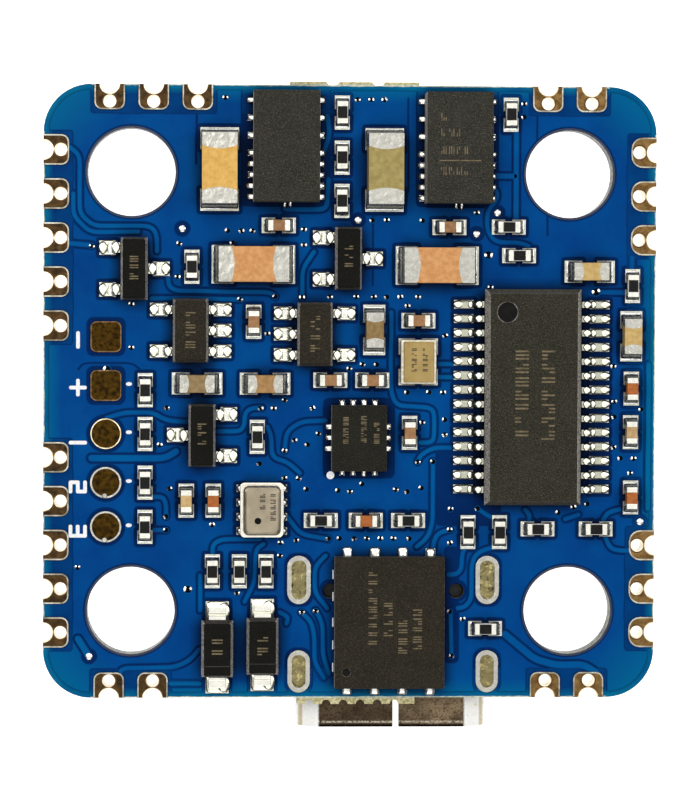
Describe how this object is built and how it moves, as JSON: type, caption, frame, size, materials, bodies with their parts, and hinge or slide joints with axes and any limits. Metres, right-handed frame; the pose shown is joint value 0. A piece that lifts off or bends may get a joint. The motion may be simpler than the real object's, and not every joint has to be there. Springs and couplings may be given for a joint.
{
  "type": "flight controller board",
  "caption": "Small square drone flight controller: blue board with castellated edge pads, sensor and power chips on top, and processor, USB socket and boot button underneath.",
  "frame": {"origin": "centre of the four-hole mounting pattern, on the underside of the board", "axes": "+Z towards the side with the sensor chips, -Y towards the USB socket, +X to the right when that side is seen with the USB socket at the bottom"},
  "size_m": [0.028, 0.0297, 0.0058],
  "materials": {
    "solder_mask_blue": "semi-gloss solder mask over glass-fibre laminate",
    "gold_finish": "thin gold finish on copper",
    "solder": "bright reflowed solder",
    "tinned_metal": "bright tin plating",
    "moulding_black": "fine-grained moulding compound",
    "lid_champagne": "satin plated lid",
    "lid_gold": "satin gold-plated lid",
    "lid_silver": "satin plated lid",
    "ceramic_base": "sintered ceramic",
    "ceramic_tan": "fired ceramic, smooth",
    "ceramic_olive": "fired ceramic, smooth",
    "ceramic_orange": "fired ceramic, smooth",
    "ceramic_brown": "fired ceramic, smooth",
    "alumina_white": "white alumina",
    "glaze_black": "dark glassy coat",
    "usb_steel": "satin plated steel, slightly stained",
    "spring_steel": "bright spring steel",
    "contact_gold": "gold-plated contact",
    "insulator_black": "glass-filled nylon",
    "housing_cream": "natural nylon",
    "button_cream": "moulded plastic",
    "lens_clear": "clear epoxy"
  },
  "bodies": {
    "board": {"circuit_board": "solder_mask_blue", "edge_pads": "gold_finish", "wire_pads": "gold_finish", "component_lands": "solder", "usb_slot_plating": "tinned_metal", "usb_slot_solder": "solder", "power_module_left": "moulding_black", "power_module_right": "moulding_black", "power_module_terminals": "solder", "osd_chip": "moulding_black", "osd_chip_leads": "tinned_metal", "osd_crystal_base": "ceramic_base", "osd_crystal_lid": "lid_gold", "flash_chip": "moulding_black", "flash_chip_terminals": "solder", "motion_sensor": "moulding_black", "motion_sensor_terminals": "solder", "barometer_base": "ceramic_base", "barometer_lid": "lid_champagne", "transistors": "moulding_black", "transistor_leads": "tinned_metal", "regulators": "moulding_black", "regulator_leads": "tinned_metal", "diodes": "moulding_black", "diode_terminals": "tinned_metal", "input_capacitor_tan": "ceramic_tan", "input_capacitor_olive": "ceramic_olive", "output_capacitors": "ceramic_orange", "large_capacitor_ends": "tinned_metal", "filter_capacitors": "ceramic_tan", "filter_capacitor_ends": "tinned_metal", "small_capacitors": "ceramic_brown", "small_capacitor_ends": "tinned_metal", "resistor_cores": "alumina_white", "resistor_coats": "glaze_black", "resistor_ends": "tinned_metal", "mcu_chip": "moulding_black", "mcu_leads": "tinned_metal", "mcu_crystal_base": "ceramic_base", "mcu_crystal_lid": "lid_silver", "usb_shell": "usb_steel", "usb_insulator": "insulator_black", "usb_mid_plate": "spring_steel", "usb_contacts_upper": "contact_gold", "usb_contacts_lower": "contact_gold", "esc_socket_housing": "housing_cream", "esc_socket_contacts": "contact_gold", "esc_socket_anchors": "tinned_metal", "boot_button_base": "insulator_black", "boot_button_cover": "spring_steel", "boot_button_dome": "spring_steel", "boot_button_terminals": "tinned_metal", "status_led_bases": "alumina_white", "status_led_lenses": "lens_clear", "status_led_ends": "contact_gold"},
    "boot_plunger": {"boot_button_plunger": "button_cream"}
  },
  "joints": [
    {"name": "boot_press", "type": "slide", "parent": "board", "child": "boot_plunger", "axis": [0, 0, 1], "range_m": [0, 0.00025], "stiffness_N_per_m": 6400, "deforming": ["boot_button_dome"]}
  ]
}
